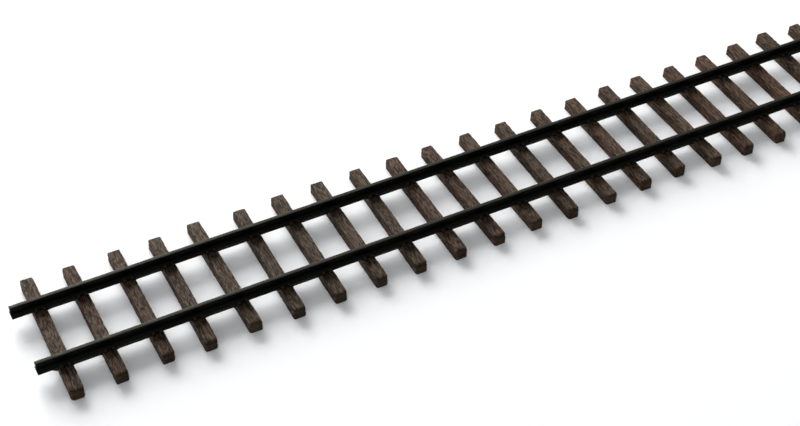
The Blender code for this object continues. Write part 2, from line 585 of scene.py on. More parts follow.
def dust_group() -> bpy.types.NodeTree:
    """Build fine pale dust that lies on faces that look up.

    Returns:
        The group.
    """
    group, wiring, inlet, outlet = new_group(
        "settled_dust",
        {"Colour": ("Color", (0.1, 0.1, 0.1)), "Dust": ("Color", (0.2, 0.2, 0.2)), "Amount": ("Float", 0.2),
         "Vector": ("Vector", None), "Scale": ("Float", 4000.0)},
        {"Colour": "Color"},
    )
    surface = wiring.add("ShaderNodeNewGeometry")
    split = wiring.add("ShaderNodeSeparateXYZ", Vector=surface.outputs["Normal"])
    upward = wiring.ramp(split.outputs["Z"], 0.35, 0.98)
    patchy = wiring.ramp(wiring.noise(inlet.outputs["Vector"], inlet.outputs["Scale"], 5.0, 0.65), 0.32, 0.68)
    amount = wiring.maths("MULTIPLY", wiring.maths("MULTIPLY", upward, patchy), inlet.outputs["Amount"])
    wiring.feed(wiring.mix(amount, inlet.outputs["Colour"], inlet.outputs["Dust"]), outlet.inputs["Colour"])
    return group


def edge_wear_group() -> bpy.types.NodeTree:
    """Build broken pale rubbing where a stored wear value is high.

    Returns:
        The group.
    """
    group, wiring, inlet, outlet = new_group(
        "rubbed_edges",
        {"Colour": ("Color", (0.1, 0.1, 0.1)), "Bare": ("Color", (0.3, 0.3, 0.3)), "Wear": ("Float", 0.0),
         "Vector": ("Vector", None), "Scale": ("Float", 3000.0), "Amount": ("Float", 0.5)},
        {"Colour": "Color"},
    )
    noise = wiring.noise(inlet.outputs["Vector"], inlet.outputs["Scale"], 6.0, 0.7)
    lifted = wiring.maths("ADD", inlet.outputs["Wear"], wiring.maths("SUBTRACT", noise, 0.5))
    mask = wiring.maths("MULTIPLY", wiring.ramp(lifted, 0.45, 0.95), inlet.outputs["Amount"])
    wiring.feed(wiring.mix(mask, inlet.outputs["Colour"], inlet.outputs["Bare"]), outlet.inputs["Colour"])
    return group


class ShaderKit:
    """The shader groups that the finishes share, each built once."""

    def __init__(self) -> None:
        """Build the groups."""
        self.streaks = streaks_group()
        self.dust = dust_group()
        self.edge_wear = edge_wear_group()

    @staticmethod
    def start(name: str, metallic: float) -> tuple[bpy.types.Material, Wiring, bpy.types.Node, bpy.types.NodeSocket]:
        """Start a material.

        Args:
            name: The material's name.
            metallic: The whole surface's metallic value.

        Returns:
            The material, its wiring, its shader node and its Object coordinates.
        """
        material = bpy.data.materials.new(name)
        material.use_nodes = True
        wiring = Wiring(material.node_tree)
        shader = material.node_tree.nodes["Principled BSDF"]
        shader.inputs["Metallic"].default_value = metallic
        return material, wiring, shader, wiring.add("ShaderNodeTexCoord").outputs["Object"]

    @staticmethod
    def place(wiring: Wiring, group: bpy.types.NodeTree, **inputs: object) -> bpy.types.NodeSocket:
        """Place a shared group in a material with its own values.

        Args:
            wiring: The material's wiring.
            group: The group.
            **inputs: The group's inputs by name.

        Returns:
            The group's one output.
        """
        node = wiring.add("ShaderNodeGroup", node_tree=group)
        for name, value in inputs.items():
            wiring.feed(value, node.inputs[name])
        return node.outputs[0]

    @staticmethod
    def finish(
        wiring: Wiring, shader: bpy.types.Node, colour: object, roughness: object, height: object, bump: Span,
        specular: float,
    ) -> None:
        """Join a finish to its shader.

        Args:
            wiring: The material's wiring.
            shader: The shader node.
            colour: The colour's output.
            roughness: The roughness's output.
            height: The relief's output.
            bump: The relief's strength and its depth in metres.
            specular: The whole surface's specular level.
        """
        wiring.feed(colour, shader.inputs["Base Color"])
        wiring.feed(roughness, shader.inputs["Roughness"])
        relief = wiring.add("ShaderNodeBump", Strength=bump[0], Distance=bump[1], Height=height)
        wiring.feed(relief.outputs["Normal"], shader.inputs["Normal"])
        shader.inputs["Specular IOR Level"].default_value = specular


# Finishes


@dataclass(frozen=True)
class MouldedWoodFinish:
    """Matte brown plastic with a moulded grain: pale on the ridges, with painted shade in the grooves."""

    name: str = "moulded_wood_brown"
    ridge: Colour = (0.128, 0.083, 0.054)
    groove: Colour = (0.0080, 0.0046, 0.0028)
    warm: Colour = (0.060, 0.033, 0.019)
    red_tint: Colour = (1.08, 0.94, 0.88)
    olive_tint: Colour = (0.93, 1.00, 0.92)
    dust: Colour = (0.108, 0.079, 0.055)
    dust_amount: float = 0.12
    relief_share: float = 0.52
    streak_share: float = 0.27
    hair_share: float = 0.21
    tone_range: Span = (0.20, 0.86)
    warm_range: Span = (0.42, 0.72)
    warm_share: float = 0.42
    streaks_per_metre: Triple = (11000.0, 900.0, 11000.0)
    hairs_per_metre: Triple = (30000.0, 2600.0, 30000.0)
    patches_per_metre: float = 420.0
    dust_per_metre: float = 5200.0
    roughness: Span = (0.86, 0.62)
    specular: float = 0.16
    bump: Span = (0.8, 0.012 * MM)

    def make(self, kit: ShaderKit) -> bpy.types.Material:
        """Build the material.

        Args:
            kit: The shared shader groups.

        Returns:
            The finished material.
        """
        material, wiring, shader, place = kit.start(self.name, 0.0)
        streaks = kit.place(
            wiring, kit.streaks, Vector=place, Stretch=self.streaks_per_metre, Detail=5.0, Contrast=1.6
        )
        hairs = kit.place(wiring, kit.streaks, Vector=place, Stretch=self.hairs_per_metre, Detail=3.0, Contrast=1.4)
        # The relief attribute paints shade into the grooves, checks and sawn-end hollows; the ridges stay pale.
        raised = wiring.maths("SUBTRACT", 1.0, wiring.attribute("relief"))
        mixed = wiring.maths("MULTIPLY", raised, self.relief_share)
        for lines, share in ((streaks, self.streak_share), (hairs, self.hair_share)):
            mixed = wiring.maths("ADD", mixed, wiring.maths("MULTIPLY", lines, share))
        grained = wiring.mix(wiring.ramp(mixed, *self.tone_range), self.groove, self.ridge)
        patches = wiring.noise(place, self.patches_per_metre, 3.0)
        warmed = wiring.mix(wiring.ramp(patches, *self.warm_range, 0.0, self.warm_share), grained, self.warm)
        tint = wiring.mix(wiring.attribute("redness"), self.olive_tint, self.red_tint)
        tinted = wiring.mix(1.0, warmed, tint, "MULTIPLY")
        grey = wiring.add("ShaderNodeCombineColor")
        for channel in grey.inputs:
            wiring.feed(wiring.attribute("tone"), channel)
        toned = wiring.mix(1.0, tinted, grey.outputs[0], "MULTIPLY")
        dusty = kit.place(
            wiring, kit.dust, Colour=toned, Dust=self.dust, Amount=self.dust_amount, Vector=place,
            Scale=self.dust_per_metre,
        )
        rough = wiring.ramp(mixed, 0.1, 0.9, *self.roughness)
        height = wiring.maths("ADD", streaks, wiring.maths("MULTIPLY", hairs, 0.5))
        kit.finish(wiring, shader, dusty, rough, height, self.bump, self.specular)
        return material


@dataclass(frozen=True)
class SmoothPlasticFinish:
    """The same plastic where the mould was smooth: spike heads and webs."""

    name: str
    base: Colour
    rubbed: Colour
    pits: Colour = (0.008, 0.006, 0.005)
    pit_share: float = 0.55
    speckle_per_metre: float = 8000.0
    wear_per_metre: float = 6500.0
    wear_amount: float = 0.75
    roughness: Span = (0.5, 0.78)
    specular: float = 0.14
    bump: Span = (0.5, 0.010 * MM)

    def make(self, kit: ShaderKit) -> bpy.types.Material:
        """Build the material.

        Args:
            kit: The shared shader groups.

        Returns:
            The finished material.
        """
        material, wiring, shader, place = kit.start(self.name, 0.0)
        speckle = wiring.noise(place, self.speckle_per_metre, 4.0)
        dark = wiring.mix(wiring.ramp(speckle, 0.3, 0.7, 0.0, self.pit_share), self.base, self.pits)
        worn = kit.place(
            wiring, kit.edge_wear, Colour=dark, Bare=self.rubbed, Wear=wiring.attribute("wear"), Vector=place,
            Scale=self.wear_per_metre, Amount=self.wear_amount,
        )
        rough = wiring.ramp(speckle, 0.3, 0.7, *self.roughness)
        kit.finish(wiring, shader, worn, rough, speckle, self.bump, self.specular)
        return material


SPIKE_HEAD_FINISH = SmoothPlasticFinish("spike_head_plastic", (0.018, 0.013, 0.010), (0.052, 0.040, 0.031))
WEB_FINISH = SmoothPlasticFinish("web_plastic", (0.015, 0.011, 0.009), (0.045, 0.034, 0.027))


@dataclass(frozen=True)
class BlackenedRailFinish:
    """Chemically blackened metal: near black on the sides, with a painted olive grey highlight on the running
    surface.
    """

    name: str = "blackened_rail"
    black: Colour = (0.0026, 0.0027, 0.0023)
    foot: Colour = (0.028, 0.027, 0.0225)
    top_highlight: Colour = (0.025, 0.023, 0.0165)
    bare: Colour = (0.050, 0.046, 0.034)
    pits: Colour = (0.008, 0.0075, 0.006)
    pit_share: float = 0.30
    streak_share: float = 0.45
    drawn_per_metre: Triple = (260.0, 9000.0, 9000.0)
    mottle_per_metre: float = 1500.0
    wear_per_metre: float = 2600.0
    wear_amount: float = 0.25
    metallic: float = 0.25
    roughness: Span = (0.46, 0.66)
    specular: float = 0.08
    bump: Span = (0.5, 0.006 * MM)

    def make(self, kit: ShaderKit) -> bpy.types.Material:
        """Build the material.

        Args:
            kit: The shared shader groups.

        Returns:
            The finished material.
        """
        material, wiring, shader, place = kit.start(self.name, self.metallic)
        drawn = kit.place(wiring, kit.streaks, Vector=place, Stretch=self.drawn_per_metre, Detail=5.0, Contrast=1.5)
        mottle = wiring.noise(place, self.mottle_per_metre, 6.0, 0.7)
        streaked = wiring.maths("MULTIPLY", wiring.maths("SUBTRACT", drawn, 0.5), self.streak_share)
        # The crown mask paints an olive grey highlight along the running surface, standing for the light from
        # behind.
        uneven = wiring.maths("ADD", wiring.attribute("crown"), streaked)
        patina = wiring.mix(wiring.ramp(uneven, 0.30, 1.0), self.black, self.top_highlight)
        # The foot's upper face is painted paler: partly wear, partly painted light from the viewer's side.
        footed = wiring.mix(wiring.attribute("foot"), patina, self.foot)
        mottled = wiring.mix(wiring.ramp(mottle, 0.42, 0.75, 0.0, self.pit_share), footed, self.pits)
        worn = kit.place(
            wiring, kit.edge_wear, Colour=mottled, Bare=self.bare, Wear=wiring.attribute("wear"), Vector=place,
            Scale=self.wear_per_metre, Amount=self.wear_amount,
        )
        rough = wiring.ramp(mottle, 0.3, 0.7, *self.roughness)
        height = wiring.maths("ADD", drawn, wiring.maths("MULTIPLY", mottle, 0.6))
        kit.finish(wiring, shader, worn, rough, height, self.bump, self.specular)
        return material


# Ties


@dataclass(frozen=True)
class TiePlan:
    """Where one tie's four upright corners stand, from its CAD node."""

    name: str
    number: int
    corners: dict[tuple[int, int], Vector]

    @classmethod
    def from_node(cls, name: str, arris: float) -> "TiePlan":
        """Read the corners of a CAD tie's underside.

        Args:
            name: The node's name.
            arris: How far the underside's corners are cut back by the arris.

        Returns:
            The plan, with corners by the signs of X and Y.
        """
        points = read_points(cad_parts[name].data)
        base = points[points[:, 2] < points[:, 2].min() + NEAR]
        middle = base.mean(axis=0)
        corners = {}
        for across in (-1, 1):
            for along in (-1, 1):
                reach = across * (base[:, 0] - middle[0]) + along * base[:, 1]
                point = base[reach.argmax()]
                corners[across, along] = Vector((point[0] + across * arris, point[1] + along * arris))
        return cls(name, int(name.split("_")[1]), corners)

    def edge(self, across: int, y: np.ndarray | float) -> np.ndarray | float:
        """X of one long side at a distance y across the track."""
        near, far = self.corners[across, -1], self.corners[across, 1]
        return near.x + (far.x - near.x) * (y - near.y) / (far.y - near.y)

    def centre_at(self, y: float) -> float:
        """X of the centre line at a distance y across the track."""
        return (self.edge(-1, y) + self.edge(1, y)) / 2

    def end(self, along: int, share: np.ndarray) -> np.ndarray:
        """Y of one end, at a share from 0 to 1 of the way across it."""
        left, right = self.corners[-1, along], self.corners[1, along]
        return left.y + (right.y - left.y) * share


@dataclass
class TieModeller:
    """Models one tie block as a fine grid, then shapes a copy of it for each CAD tie."""

    sizes: TrackSizes
    width: float = 1.88 * MM
    length: float = 22.6 * MM
    arris: float = 0.13 * MM
    round_arris: float = 0.11 * MM
    seat_gap: float = 0.06 * MM
    seat_wall: float = 0.05 * MM
    cells_across: int = 60
    cells_up: int = 22
    row_steps: tuple[int, ...] = (36, 1, 8, 1, 30, 7)
    end_zone: float = 0.25 * MM
    square_to: float = 7.4 * MM
    side_wander: float = 0.045 * MM
    side_lean: float = 0.3
    mean_depth: float = 0.050 * MM
    underside_calm: float = 0.75
    seat_calm: float = 0.9
    seat_reach: float = 0.3
    end_shade: Span = (0.22, 0.36)
    tones: Span = (0.84, 1.16)
    left_end: tuple[Span, Span] = ((0.10, 0.36), (0.08, 0.26))
    right_end: tuple[Span, Span] = ((0.22, 0.50), (0.30, 0.72))
    rows: np.ndarray = field(init=False)
    master: bpy.types.Mesh = field(init=False)

    def __post_init__(self) -> None:
        """Lay out the rows and model the block."""
        self.rows = self._row_places()
        self.master = self._model_block()

    @property
    def half_size(self) -> np.ndarray:
        """Half the block's width, length and height."""
        return np.array([self.width / 2, self.length / 2, self.sizes.tie_top / 2])

    def _row_places(self) -> np.ndarray:
        """Set out the grid's rows: close at ends and seat walls, even elsewhere.

        Returns:
            Distances along the tie.
        """
        seat = self.sizes.foot_half + self.seat_gap
        centre = self.sizes.rail_centre
        half = self.length / 2
        stops = [0.0, centre - seat - self.seat_wall, centre - seat, centre + seat, centre + seat + self.seat_wall]
        stops += [half - self.end_zone, half]
        spans = zip(stops, stops[1:], self.row_steps)
        positive = np.concatenate([np.linspace(a, b, steps + 1)[1:] for a, b, steps in spans])
        return np.concatenate([-positive[::-1], [0.0], positive])

    def _model_block(self) -> bpy.types.Mesh:
        """Cut a block into a fine grid with subdivisions along each axis in turn.

        Returns:
            The grid's mesh.
        """
        top = self.sizes.tie_top
        low = Vector((-self.width / 2, -self.length / 2, 0.0))
        block = add_block("tie_block", low, Vector((self.width / 2, self.length / 2, top)))
        with edit_mode(block):
            for axis, cells in ((0, self.cells_across), (2, self.cells_up), (1, len(self.rows) - 1)):
                pick(block, Part.EDGE, runs_along(axis))
                bpy.ops.mesh.subdivide(number_cuts=cells - 1)
        bpy.ops.object.shade_smooth()
        mesh = block.data
        bpy.data.objects.remove(block)
        return mesh

    def _rounded(self, points: np.ndarray) -> tuple[np.ndarray, np.ndarray]:
        """Set the rows out and round the arrises.

        Args:
            points: The plain grid.

        Returns:
            The rounded points about the block's middle, and their outward directions.
        """
        half = self.half_size
        local = points - np.array([0.0, 0.0, half[2]])
        row = (points[:, 1] / self.length + 0.5) * (len(self.rows) - 1)
        local[:, 1] = np.interp(row, np.arange(len(self.rows)), self.rows)
        core = np.clip(local, -(half - self.round_arris), half - self.round_arris)
        outward = local - core
        outward /= np.maximum(np.linalg.norm(outward, axis=1, keepdims=True), TINY)
        return core + outward * self.round_arris, outward

    def _seat_share(self, y: np.ndarray) -> np.ndarray:
        """1 inside a rail seat and 0 outside it."""
        beside = np.abs(np.abs(y) - self.sizes.rail_centre)
        return (beside < self.sizes.foot_half + self.seat_gap + self.seat_wall / 2).astype(float)

    def shape(self, plan: TiePlan, finish: bpy.types.Material) -> bpy.types.Object:
        """Shape one tie.

        Args:
            plan: The CAD tie's corners.
            finish: The material to dress it in.

        Returns:
            The tie, in its node's place.
        """
        mesh = self.master.copy()
        mesh.name = f"{plan.name}_moulding"
        tie = link_new(mesh.name, mesh)
        grain = HewnGrain(seed=plan.number)
        points, outward = self._rounded(read_points(mesh))
        x, y, z = points.T
        half_top = self.sizes.tie_top / 2
        side_sign = np.where(x >= 0, 1.0, -1.0)
        round_tie = x + side_sign * (half_top - z)
        end_share = np.clip(np.abs(outward[:, 1]), 0.0, 1.0)
        seat = self._seat_share(y)
        depth, groove = grain.along_relief(round_tie, y)
        sawn = grain.end_relief(x, z)
        depth = depth * (1 - end_share) + sawn * end_share
        plain, rough = self.end_shade
        end_relief = np.clip(plain + rough * sawn / grain.end_depth, 0.0, 1.0)
        relief = groove * (1 - end_share) + end_relief * end_share
        below = np.clip((half_top - z) / self.sizes.tie_top, 0.0, 1.0)
        underside = np.clip(-outward[:, 2], 0.0, 1.0)
        depth *= (1 - self.underside_calm * underside) * (1 - self.seat_calm * seat * (below < self.seat_reach))
        points = points - outward * (depth - self.mean_depth)[:, None]
        wander = grain.edge_wander(y, side_sign) - self.side_lean * (1 - below)
        points[:, 0] += side_sign * np.abs(outward[:, 0]) * self.side_wander * wander
        self._round_ends(points, plan.number)
        points[:, 2] += half_top
        points[:, 2] *= 1.0 - seat * (1.0 - self.sizes.seat_level / self.sizes.tie_top)
        self._lay(points, plan)
        write_points(mesh, points)
        # relief carries the painted shade of the grooves, checks and sawn-end hollows.
        write_attribute(mesh, "relief", relief)
        rng = np.random.default_rng(plan.number + 400)
        write_attribute(mesh, "tone", np.full(len(points), rng.uniform(*self.tones)))
        write_attribute(mesh, "redness", np.full(len(points), rng.uniform(0.0, 1.0)))
        mesh.materials.clear()
        mesh.materials.append(finish)
        return tie

    def _round_ends(self, points: np.ndarray, number: int) -> None:
        """Round the corners and the top edge of both ends, each by its own amount.

        Args:
            points: The block's points about its middle, which are moved.
            number: The tie's number, which chooses the amounts.
        """
        rng = np.random.default_rng(number + 700)
        half = self.half_size
        for end, (corner_radii, top_radii) in ((-1, self.right_end), (1, self.left_end)):
            edges = [(0, -1, rng.uniform(*corner_radii)), (0, 1, rng.uniform(*corner_radii))]
            edges.append((2, 1, rng.uniform(*top_radii)))
            for axis, sign, millimetres in edges:
                radius = millimetres * MM
                past_side = sign * points[:, axis] - (half[axis] - radius)
                past_end = end * points[:, 1] - (half[1] - radius)
                both = (past_side > 0) & (past_end > 0)
                side, face = past_side[both], past_end[both]
                shrink = 1 - np.maximum(side, face) / np.maximum(np.hypot(side, face), TINY)
                points[both, axis] -= sign * side * shrink
                points[both, 1] -= end * face * shrink

    def _lay(self, points: np.ndarray, plan: TiePlan) -> None:
        """Move a block's points to the tie's real corners, keeping the seats in line with the rails.

        Args:
            points: The block's points, which are moved.
            plan: The CAD tie's corners.
        """
        share = points[:, 0] / self.width + 0.5
        nominal = self.length / 2 - self.square_to
        for along in (-1, 1):
            outer = along * points[:, 1] > self.square_to
            stretch = (along * plan.end(along, share[outer]) - self.square_to) / nominal
            grown = self.square_to + (along * points[outer, 1] - self.square_to) * stretch
            points[outer, 1] = along * grown
        y = points[:, 1]
        points[:, 0] = plan.edge(-1, y) * (1 - share) + plan.edge(1, y) * share


@dataclass
class SpikeModeller:
    """Models one moulded spike head and sets eight copies on each tie."""

    sizes: TrackSizes
    width: float = 0.40 * MM
    length: float = 0.42 * MM
    rise: float = 0.30 * MM
    root: float = 0.22 * MM
    lip_level: float = 0.05 * MM
    reach: float = 0.20 * MM
    dome: float = 0.05 * MM
    crown_inset: float = 0.07 * MM
    lip_scale: Triple = (0.72, 1.0, 0.8)
    edge: float = 0.045 * MM
    shortest_edge: float = 0.08 * MM
    sharp: float = 0.6
    crease: float = 50.0
    side_gap: float = 0.05 * MM
    from_centre: float = 0.55 * MM
    shift: float = 0.03 * MM
    twist: float = 0.10

    def model_head(self) -> bpy.types.Mesh:
        """Model a head whose shank stands at y > 0 and whose lip reaches over y < 0.

        Returns:
            The head's mesh.
        """
        top = self.sizes.tie_top
        low = Vector((-self.width / 2, 0.0, top - self.root))
        head = add_block("spike_head", low, Vector((self.width / 2, self.length, top + self.rise)))
        lip = top + self.lip_level

        def outer_corner(edge: bmesh.types.BMEdge) -> bool:
            """True of a sharp edge that is long enough to bevel."""
            return edge.calc_face_angle(0.0) > self.sharp and edge.calc_length() > self.shortest_edge

        with edit_mode(head):
            bpy.ops.mesh.select_all(action="SELECT")
            bpy.ops.mesh.bisect(plane_co=(0.0, 0.0, lip), plane_no=(0.0, 0.0, 1.0))
            pick(head, Part.FACE, lambda f: f.normal.y < -0.5 and f.calc_center_median().z > lip)
            extrude((0.0, -self.reach, 0.0), self.lip_scale, Vector((0.0, 0.0, lip)))
            pick(head, Part.FACE, lambda f: f.normal.z > 0.5)
            bpy.ops.mesh.inset(thickness=self.crown_inset, depth=self.dome)
            pick(head, Part.EDGE, outer_corner)
            bpy.ops.mesh.bevel(offset=self.edge, segments=2, affect="EDGES")
        finish_mesh(head, self.crease)
        mesh = head.data
        bpy.data.objects.remove(head)
        return mesh

    def place_on(self, plan: TiePlan, head: bpy.types.Mesh, finish: bpy.types.Material) -> bpy.types.Object:
        """Set eight heads on one tie.

        Args:
            plan: The tie that they stand on.
            head: The modelled head.
            finish: The material to dress them in.

        Returns:
            The eight heads as one piece.
        """
        group = bmesh.new()
        rng = np.random.default_rng(plan.number + 900)
        for side in Side:
            for facing in (1, -1):
                y = side.value * self.sizes.rail_centre + facing * (self.sizes.foot_half + self.side_gap)
                for edge in (1, -1):
                    x = plan.centre_at(y) + edge * self.from_centre + rng.uniform(-self.shift, self.shift)
                    turn = (0.0 if facing == 1 else math.pi) + rng.uniform(-self.twist, self.twist)
                    first = len(group.verts)
                    group.from_mesh(head)
                    group.verts.ensure_lookup_table()
                    place = Matrix.Translation((x, y, 0.0)) @ Matrix.Rotation(turn, 4, "Z")
                    bmesh.ops.transform(group, matrix=place, verts=group.verts[first:])
        name = f"spike_heads_{plan.number:02d}"
        mesh = bpy.data.meshes.new(name)
        group.to_mesh(mesh)
        group.free()
        heads = link_new(name, mesh)
        height = read_points(mesh)[:, 2] - self.sizes.tie_top
        write_attribute(mesh, "wear", np.clip(height / (self.rise + self.dome), 0.0, 1.0))
        mesh.materials.append(finish)
        shade_smooth(heads, self.crease)
        return heads


@dataclass
class WebModeller:
    """Models the thin webs that join the ties under the rails."""

    sizes: TrackSizes
    sink: float = 0.16 * MM
    flare: float = 0.30 * MM
    flare_scale: float = 1.16
    edge: float = 0.06 * MM
    nip: float = 0.34
    nip_width: float = 0.82
    cuts: int = 11
    crease: float = 40.0
    sway: float = 0.018 * MM
    sway_run: float = 0.9 * MM
    sag: float = 0.014 * MM
    sag_run: float = 0.7 * MM
    rubbing: Span = (0.12, 0.14)
    rub_run: float = 1.3 * MM
    rub_rise: float = 0.5 * MM

    def model(self, node: str, finish: bpy.types.Material) -> bpy.types.Object:
        """Model one web at its CAD node's place.

        Args:
            node: The CAD node it stands for.
            finish: The material to dress it in.

        Returns:
            The web, with fillets where it runs into the ties, or a nipped end on the cut stub.
        """
        low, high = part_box(node)
        stub = "stub" in node
        middle = (low + high) / 2
        straight = 0.0 if stub else self.flare
        web = add_block(f"{node}_moulding", low + Vector((straight, 0, 0)), high - Vector((self.flare, 0, 0)))
        with edit_mode(web):
            for sign in (-1, 1):
                pick(web, Part.FACE, lambda f, s=sign: f.normal.x * s > 0.5)
                if stub and sign < 0:
                    centre = Vector((low.x, middle.y, low.z))
                    bpy.ops.transform.resize(value=(1.0, self.nip_width, self.nip), center_override=centre)
                    bpy.ops.transform.translate(value=(0.0, 0.0, 0.5 * (high.z - low.z) * (1 - self.nip)))
                    continue
                extrude((sign * self.flare, 0.0, 0.0), (1.0, self.flare_scale, 1.0), middle)
                extrude((sign * self.sink, 0.0, 0.0), (1.0, 1.0, 1.0), middle)
            pick(web, Part.EDGE, lambda e: abs((e.verts[1].co - e.verts[0].co).x) > 0.8 * e.calc_length())
            bpy.ops.mesh.bevel(offset=self.edge, segments=3, affect="EDGES")
            pick(web, Part.EDGE, runs_along(0, 1.5 * MM))
            bpy.ops.mesh.subdivide(number_cuts=self.cuts)
        finish_mesh(web, self.crease)
        self._wear(web.data, LatticeNoise(len(node) + int(low.x / MM * 100) % 1000))
        web.data.materials.append(finish)
        return web

    def _wear(self, mesh: bpy.types.Mesh, noise: LatticeNoise) -> None:
        """Bend a web a little, as moulded strips are, and store how rubbed it is.

        Args:
            mesh: The web's mesh.
            noise: This web's own noise.
        """
        points = read_points(mesh)
        x = points[:, 0]
        points[:, 1] += self.sway * noise.at(x / self.sway_run, np.full(len(x), 0.5))
        points[:, 2] -= self.sag * (0.5 + 0.5 * noise.at(x / self.sag_run, np.full(len(x), 5.5)))
        write_points(mesh, points)
        least, uneven = self.rubbing
        rubs = noise.at(x / self.rub_run, points[:, 2] / self.rub_rise)
        write_attribute(mesh, "wear", np.clip(least + uneven * rubs, 0.0, 1.0))


# Rails


@dataclass
class RailModeller:
    """Models a flat-bottom rail by growing the head and the foot out of its web."""

    sizes: TrackSizes
    web: float = 0.34 * MM
    head_width: float = 0.76 * MM
    head_depth: float = 0.44 * MM
    head_slope: float = 0.07 * MM
    foot_edge: float = 0.20 * MM
    foot_slope: float = 0.09 * MM
    fillet: float = 0.10 * MM
    crown_radius: float = 0.18 * MM
    small_edge: float = 0.035 * MM
    cuts: int = 200
    crease: float = 35.0
    sharp: float = 0.6
    end_break: float = 0.025 * MM
    end_scale: Triple = (1.0, 0.97, 0.98)
    crown_fade: float = 0.24 * MM
    foot_fade: float = 0.10 * MM
    wear: float = 0.8
    wear_length: float = 3.0 * MM
    wear_width: float = 0.4 * MM
    corner_width: float = 0.09 * MM
    corner_depth: float = 0.2 * MM

    def model(self, side: Side, finish: bpy.types.Material) -> bpy.types.Object:
        """Model one rail.

        Args:
            side: Which rail.
            finish: The material to dress it in.

        Returns:
            The rail as one closed piece.
        """
        y = side.value * self.sizes.rail_centre
        base, top = self.sizes.rail_base, self.sizes.rail_top
        half = self.sizes.rail_length / 2
        web_low = base + self.foot_edge + self.foot_slope
        web_high = top - self.head_depth + self.head_slope
        low, high = Vector((-half, y - self.web / 2, web_low)), Vector((half, y + self.web / 2, web_high))
        rail = add_block(f"rail_{side.word}_bar", low, high)
        with edit_mode(rail):
            self._grow(rail, 1, y, web_high, self.head_width, self.head_slope, self.head_depth)
            self._grow(rail, -1, y, web_low, 2 * self.sizes.foot_half, self.foot_slope, self.foot_edge)
            self._round_edges(rail, y, web_low, web_high)
            self._break_ends(rail, y, half)
            pick(rail, Part.EDGE, runs_along(0, half))
            bpy.ops.mesh.subdivide(number_cuts=self.cuts)
        finish_mesh(rail, self.crease)
        self._store_highlight_and_wear(rail.data, y, side)
        rail.data.materials.append(finish)
        return rail

    def _grow(
        self, rail: bpy.types.Object, sign: int, y: float, level: float, width: float, slope: float, depth: float
    ) -> None:
        """Grow the head or the foot out of the web's face at one level.

        Args:
            rail: The open piece.
            sign: 1 for the head and -1 for the foot.
            y: The rail's centre line.
            level: Height of the web's face.
            width: Full width of the head or foot.
            slope: How far its inner face falls away towards the edge.
            depth: Its depth at the edge.
        """
        pick(rail, Part.FACE, lambda f: f.normal.z * sign > 0.5 and abs(f.calc_center_median().z - level) < TINY)
        centre = Vector((0.0, y, level))
        extrude((0.0, 0.0, -slope), (1.0, width / self.web, 1.0), centre)
        extrude((0.0, 0.0, sign * depth), (1.0, 1.0, 1.0), centre)

    def _round_edges(self, rail: bpy.types.Object, y: float, web_low: float, web_high: float) -> None:
        """Round the long edges: fillets at the web, the crown, and small breaks elsewhere.

        Args:
            rail: The open piece.
            y: The rail's centre line.
            web_low: Height of the web's lower end.
            web_high: Height of its upper end.
        """
        long = runs_along(0, 10 * MM)
        top = self.sizes.rail_top

        def at_web(edge: bmesh.types.BMEdge) -> bool:
            """True of an edge where the web meets the head or the foot."""
            place = edge.verts[0].co
            return min(abs(place.z - web_low), abs(place.z - web_high)) < NEAR and abs(place.y - y) < 0.6 * self.web

        stages = (
            (self.fillet, 4, lambda e: long(e) and at_web(e)),
            (self.crown_radius, 6, lambda e: long(e) and abs(e.verts[0].co.z - top) < NEAR),
            (self.small_edge, 2, lambda e: long(e) and e.calc_face_angle(0.0) > self.sharp),
        )
        for offset, segments, test in stages:
            pick(rail, Part.EDGE, test)
            bpy.ops.mesh.bevel(offset=offset, segments=segments, affect="EDGES")

    def _break_ends(self, rail: bpy.types.Object, y: float, half: float) -> None:
        """Cut a ring close to each sawn end and draw the end face in a little, which breaks its rim.

        Args:
            rail: The open piece.
            y: The rail's centre line.
            half: Half the rail's length.
        """
        middle = (self.sizes.rail_base + self.sizes.rail_top) / 2
        for sign in (-1, 1):
            bpy.ops.mesh.select_all(action="SELECT")
            ring = (sign * (half - self.end_break), 0.0, 0.0)
            bpy.ops.mesh.bisect(plane_co=ring, plane_no=(1.0, 0.0, 0.0))
            pick(rail, Part.FACE, lambda f, s=sign: f.normal.x * s > 0.5)
            bpy.ops.transform.resize(value=self.end_scale, center_override=Vector((sign * half, y, middle)))

    def _store_highlight_and_wear(self, mesh: bpy.types.Mesh, y: float, side: Side) -> None:
        """Store how far each point belongs to the running surface and to the foot, which both carry painted light,
        and how rubbed it is.

        Args:
            mesh: The rail's mesh.
            y: The rail's centre line.
            side: Which rail, which chooses the noise.
        """
        along, across, height = read_points(mesh).T
        from_top = self.sizes.rail_top - height
        # The crown mask marks the running surface for its painted highlight.
        write_attribute(mesh, "crown", np.clip(1.0 - from_top / self.crown_fade, 0.0, 1.0))
        noise = LatticeNoise(50 + side.value)
        lengthwise = 0.5 + 0.5 * noise.at(along / self.wear_length, across / self.wear_width)
        corner = np.abs(np.abs(across - y) - self.head_width / 2) < self.corner_width
        high = height > self.sizes.rail_top - self.corner_depth
        write_attribute(mesh, "wear", self.wear * (corner & high) * lengthwise)
        # The foot mask paints the foot paler, partly as wear and partly as painted light.
        above_foot = height - (self.sizes.rail_base + self.foot_edge + self.foot_slope)
        write_attribute(mesh, "foot", np.clip(1.0 - above_foot / self.foot_fade, 0.0, 1.0))


# Stage


